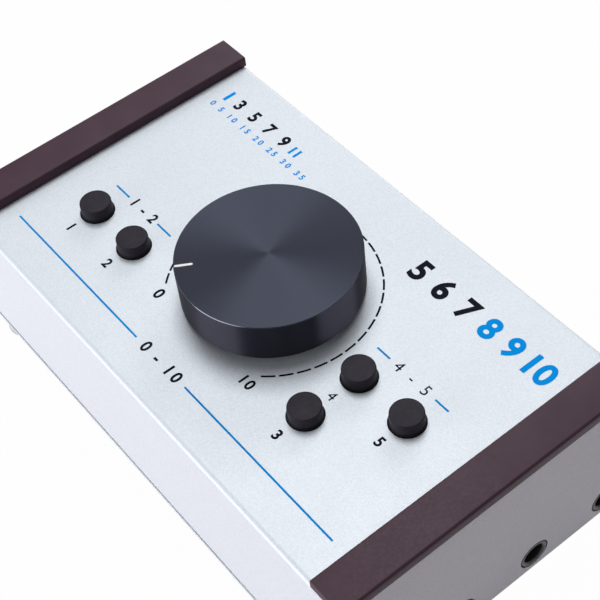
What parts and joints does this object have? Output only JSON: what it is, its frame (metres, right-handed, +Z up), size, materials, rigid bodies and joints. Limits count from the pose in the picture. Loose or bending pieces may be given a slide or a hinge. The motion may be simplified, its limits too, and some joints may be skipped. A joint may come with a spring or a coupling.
{
  "type": "studio monitor controller",
  "caption": "Desktop monitor controller: folded metal case with dark end rails, large volume knob, push buttons and jack sockets in both sides",
  "frame": {"origin": "middle of the footprint, on the surface that the feet stand on", "axes": "+X to the user's right along the case's length, +Y to the back, +Z up out of the control panel"},
  "size_m": [0.177, 0.098, 0.0682],
  "materials": {
    "silver_paint": "fine metallic silver paint, satin",
    "rail_brown": "smooth dark maroon-brown satin",
    "knob_metal": "turned and black anodised",
    "black_plastic": "matt black moulding",
    "inner_plastic": "plain dark moulding",
    "white_inlay": "white filled line",
    "plain_steel": "zinc-plated steel",
    "foot_rubber": "pale translucent rubber",
    "board_green": "green solder resist",
    "nylon": "natural nylon",
    "ribbon_grey": "grey ribbon insulation"
  },
  "bodies": {
    "case": {"bottom_chassis": "silver_paint", "top_cover": "silver_paint", "rail_left": "rail_brown", "rail_right": "rail_brown", "main_board": "board_green", "control_board": "board_green", "link_ribbon": "ribbon_grey", "pot_body": "plain_steel", "pot_washer": "plain_steel", "pot_nut": "plain_steel", "rail_screw_1": "plain_steel", "case_screw_1": "plain_steel", "panel_screw_1": "plain_steel", "panel_spacer_1": "plain_steel", "board_post_1": "nylon", "foot_1": "foot_rubber", "jack_left_1": "black_plastic", "jack_right_1": "black_plastic", "rail_screw_2": "plain_steel", "case_screw_2": "plain_steel", "panel_screw_2": "plain_steel", "panel_spacer_2": "plain_steel", "board_post_2": "nylon", "foot_2": "foot_rubber", "jack_left_2": "black_plastic", "jack_right_2": "black_plastic", "rail_screw_3": "plain_steel", "case_screw_3": "plain_steel", "panel_screw_3": "plain_steel", "panel_spacer_3": "plain_steel", "board_post_3": "nylon", "foot_3": "foot_rubber", "jack_left_3": "black_plastic", "jack_right_3": "black_plastic", "rail_screw_4": "plain_steel", "case_screw_4": "plain_steel", "panel_screw_4": "plain_steel", "panel_spacer_4": "plain_steel", "board_post_4": "nylon", "foot_4": "foot_rubber", "jack_left_4": "black_plastic", "jack_right_4": "black_plastic", "switch_body_1": "inner_plastic", "switch_body_2": "inner_plastic", "switch_body_3": "inner_plastic", "switch_body_4": "inner_plastic", "switch_body_5": "inner_plastic"},
    "volume_knob": {"knob_shell": "knob_metal", "knob_pointer": "white_inlay", "knob_hub": "inner_plastic", "pot_shaft": "plain_steel"},
    "push_button_1": {"button_cap_1": "black_plastic"},
    "push_button_2": {"button_cap_2": "black_plastic"},
    "push_button_3": {"button_cap_3": "black_plastic"},
    "push_button_4": {"button_cap_4": "black_plastic"},
    "push_button_5": {"button_cap_5": "black_plastic"}
  },
  "joints": [
    {"name": "knob_turn", "type": "hinge", "parent": "case", "child": "volume_knob", "pos_m": [0, 0, 0.054], "axis": [0, 0, -1], "range_deg": [0, 296]},
    {"name": "button_press_1", "type": "slide", "parent": "case", "child": "push_button_1", "axis": [0, 0, -1], "range_m": [0, 0.002], "stiffness_N_per_m": 600, "springref_m": -0.001},
    {"name": "button_press_2", "type": "slide", "parent": "case", "child": "push_button_2", "axis": [0, 0, -1], "range_m": [0, 0.002], "stiffness_N_per_m": 600, "springref_m": -0.001},
    {"name": "button_press_3", "type": "slide", "parent": "case", "child": "push_button_3", "axis": [0, 0, -1], "range_m": [0, 0.002], "stiffness_N_per_m": 600, "springref_m": -0.001},
    {"name": "button_press_4", "type": "slide", "parent": "case", "child": "push_button_4", "axis": [0, 0, -1], "range_m": [0, 0.002], "stiffness_N_per_m": 600, "springref_m": -0.001},
    {"name": "button_press_5", "type": "slide", "parent": "case", "child": "push_button_5", "axis": [0, 0, -1], "range_m": [0, 0.002], "stiffness_N_per_m": 600, "springref_m": -0.001}
  ]
}
